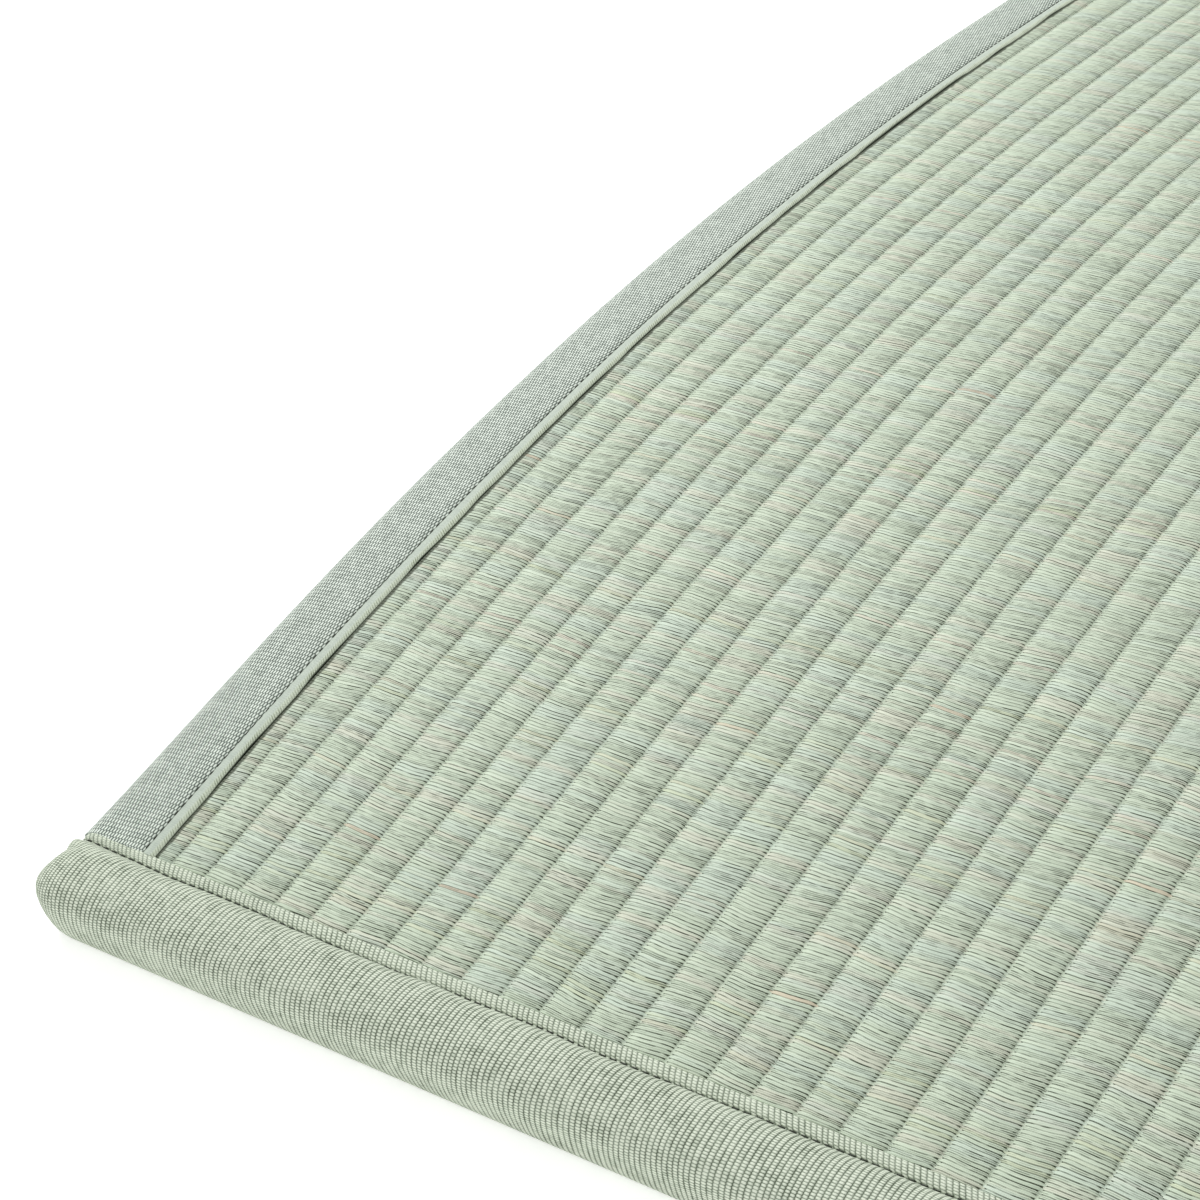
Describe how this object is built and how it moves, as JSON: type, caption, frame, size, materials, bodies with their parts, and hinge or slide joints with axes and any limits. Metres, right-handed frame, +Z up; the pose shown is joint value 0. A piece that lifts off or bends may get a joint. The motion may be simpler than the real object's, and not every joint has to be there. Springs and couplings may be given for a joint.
{
  "type": "tatami mat",
  "caption": "Ribbed woven rush mat with taped long edges and a padded cloth roll sewn across each end, standing as a shallow arch.",
  "frame": {"origin": "on the surface that the mat rests on, under the middle of the mat", "axes": "+Z up, Y along the mat's long edges, X across it"},
  "size_m": [0.88, 1.7426, 0.0973],
  "materials": {
    "rush": "woven rush, matt with a faint sheen along the straws",
    "tape": "fine flat-woven tape, soft low sheen",
    "binding": "ribbed heathered cloth, matt"
  },
  "bodies": {
    "root": {"rush_panel": "rush", "side_tape_left": "tape", "side_tape_right": "tape", "end_binding_front": "binding", "end_binding_back": "binding"}
  },
  "joints": []
}
